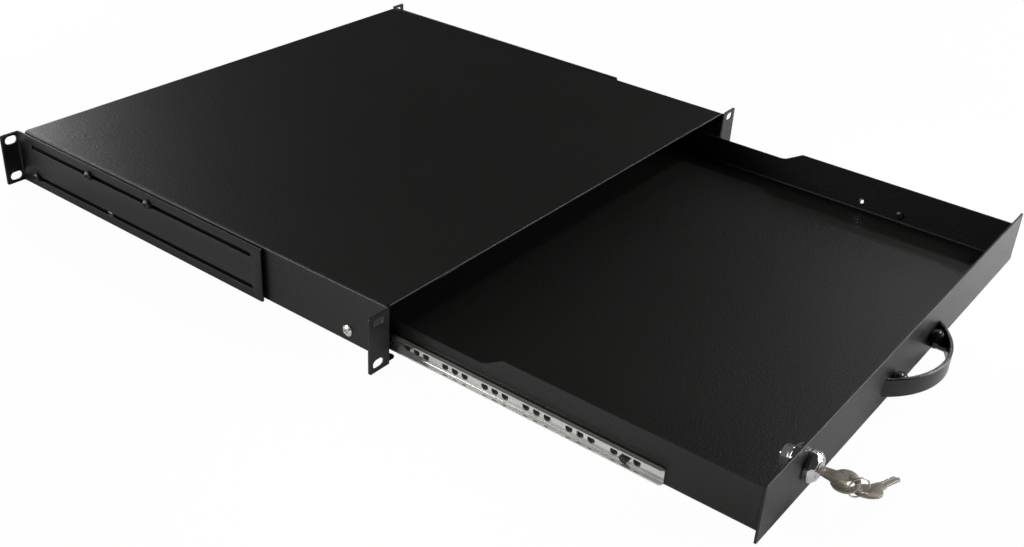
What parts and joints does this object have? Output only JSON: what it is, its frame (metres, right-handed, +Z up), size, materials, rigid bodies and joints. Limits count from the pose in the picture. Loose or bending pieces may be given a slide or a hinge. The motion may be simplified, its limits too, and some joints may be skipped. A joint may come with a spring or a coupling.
{
  "type": "rack keyboard drawer",
  "caption": "Black rack-mount keyboard drawer pulled open from its sheet-steel case, with ball slides, bow handle, cam lock with keys and sliding rear brackets",
  "frame": {"origin": "centre of the four front rack slots, on the rear face of the front ears where they seat on the rack rails", "axes": "+X across the rack, to the right for a person facing the drawer front; +Y into the rack, along the drawer's travel; +Z up"},
  "size_m": [0.4826, 0.7198, 0.0436],
  "materials": {
    "black_powder_coat": "fine-textured semi-matte powder coat",
    "zinc_plate": "bright zinc plate",
    "bearing_steel": "polished balls",
    "chrome_plate": "polished chrome plate",
    "nickel_plate": "satin nickel plate",
    "black_oxide": "black oxide",
    "black_plastic": "smooth moulded black"
  },
  "bodies": {
    "case": {"case_shell": "black_powder_coat", "lock_strike": "black_powder_coat", "outer_rail_left": "zinc_plate", "outer_rail_right": "zinc_plate", "slide_screws": "zinc_plate", "bracket_spacers": "zinc_plate", "bracket_washers": "black_oxide", "bracket_screws": "black_oxide", "bracket_nuts": "zinc_plate"},
    "drawer": {"drawer_tray": "black_powder_coat", "front_panel": "black_powder_coat", "inner_rail_left": "zinc_plate", "inner_rail_right": "zinc_plate", "rail_screws": "black_oxide", "rail_nuts": "black_oxide", "handle": "black_plastic", "handle_screws": "zinc_plate", "lock_housing": "chrome_plate", "lock_nut": "zinc_plate"},
    "bracket_left": {"rear_bracket_left": "black_powder_coat"},
    "bracket_right": {"rear_bracket_right": "black_powder_coat"},
    "cage_left": {"ball_cage_left": "zinc_plate", "cage_balls_left": "bearing_steel"},
    "cage_right": {"ball_cage_right": "zinc_plate", "cage_balls_right": "bearing_steel"},
    "lock": {"lock_plug": "chrome_plate", "lock_cam": "zinc_plate", "cam_nut": "zinc_plate"},
    "key": {"key": "nickel_plate"},
    "ring": {"key_ring": "nickel_plate"},
    "spare": {"spare_key": "nickel_plate"}
  },
  "joints": [
    {"name": "drawer_slide", "type": "slide", "parent": "case", "child": "drawer", "axis": [0, 1, 0], "range_m": [0, 0.2708]},
    {"name": "cage_left_slide", "type": "slide", "parent": "case", "child": "cage_left", "axis": [0, 1, 0], "range_m": [0, 0.1354]},
    {"name": "cage_right_slide", "type": "slide", "parent": "case", "child": "cage_right", "axis": [0, 1, 0], "range_m": [0, 0.1354]},
    {"name": "bracket_left_slide", "type": "slide", "parent": "case", "child": "bracket_left", "axis": [0, 1, 0], "range_m": [0, 0.11]},
    {"name": "bracket_right_slide", "type": "slide", "parent": "case", "child": "bracket_right", "axis": [0, 1, 0], "range_m": [0, 0.11]},
    {"name": "lock_turn", "type": "hinge", "parent": "drawer", "child": "lock", "pos_m": [-0.158, -0.272, -0.00063], "axis": [0, -1, 0], "range_deg": [0, 110.5]},
    {"name": "key_pull", "type": "slide", "parent": "lock", "child": "key", "axis": [0, -1, 0], "range_m": [0, 0.02]},
    {"name": "ring_turn", "type": "hinge", "parent": "key", "child": "ring", "pos_m": [-0.15346, -0.30175, -0.00423], "axis": [0.6157, 0.788, 0], "range_deg": [-15, 45]},
    {"name": "spare_swing", "type": "hinge", "parent": "ring", "child": "spare", "pos_m": [-0.14967, -0.30471, -0.00904], "axis": [0.5572, -0.4353, 0.7071], "range_deg": [-25, 15]}
  ],
  "couplings": [
    {"joint": "cage_left_slide", "follows": "drawer_slide", "ratio": 0.5},
    {"joint": "cage_right_slide", "follows": "drawer_slide", "ratio": 0.5}
  ]
}
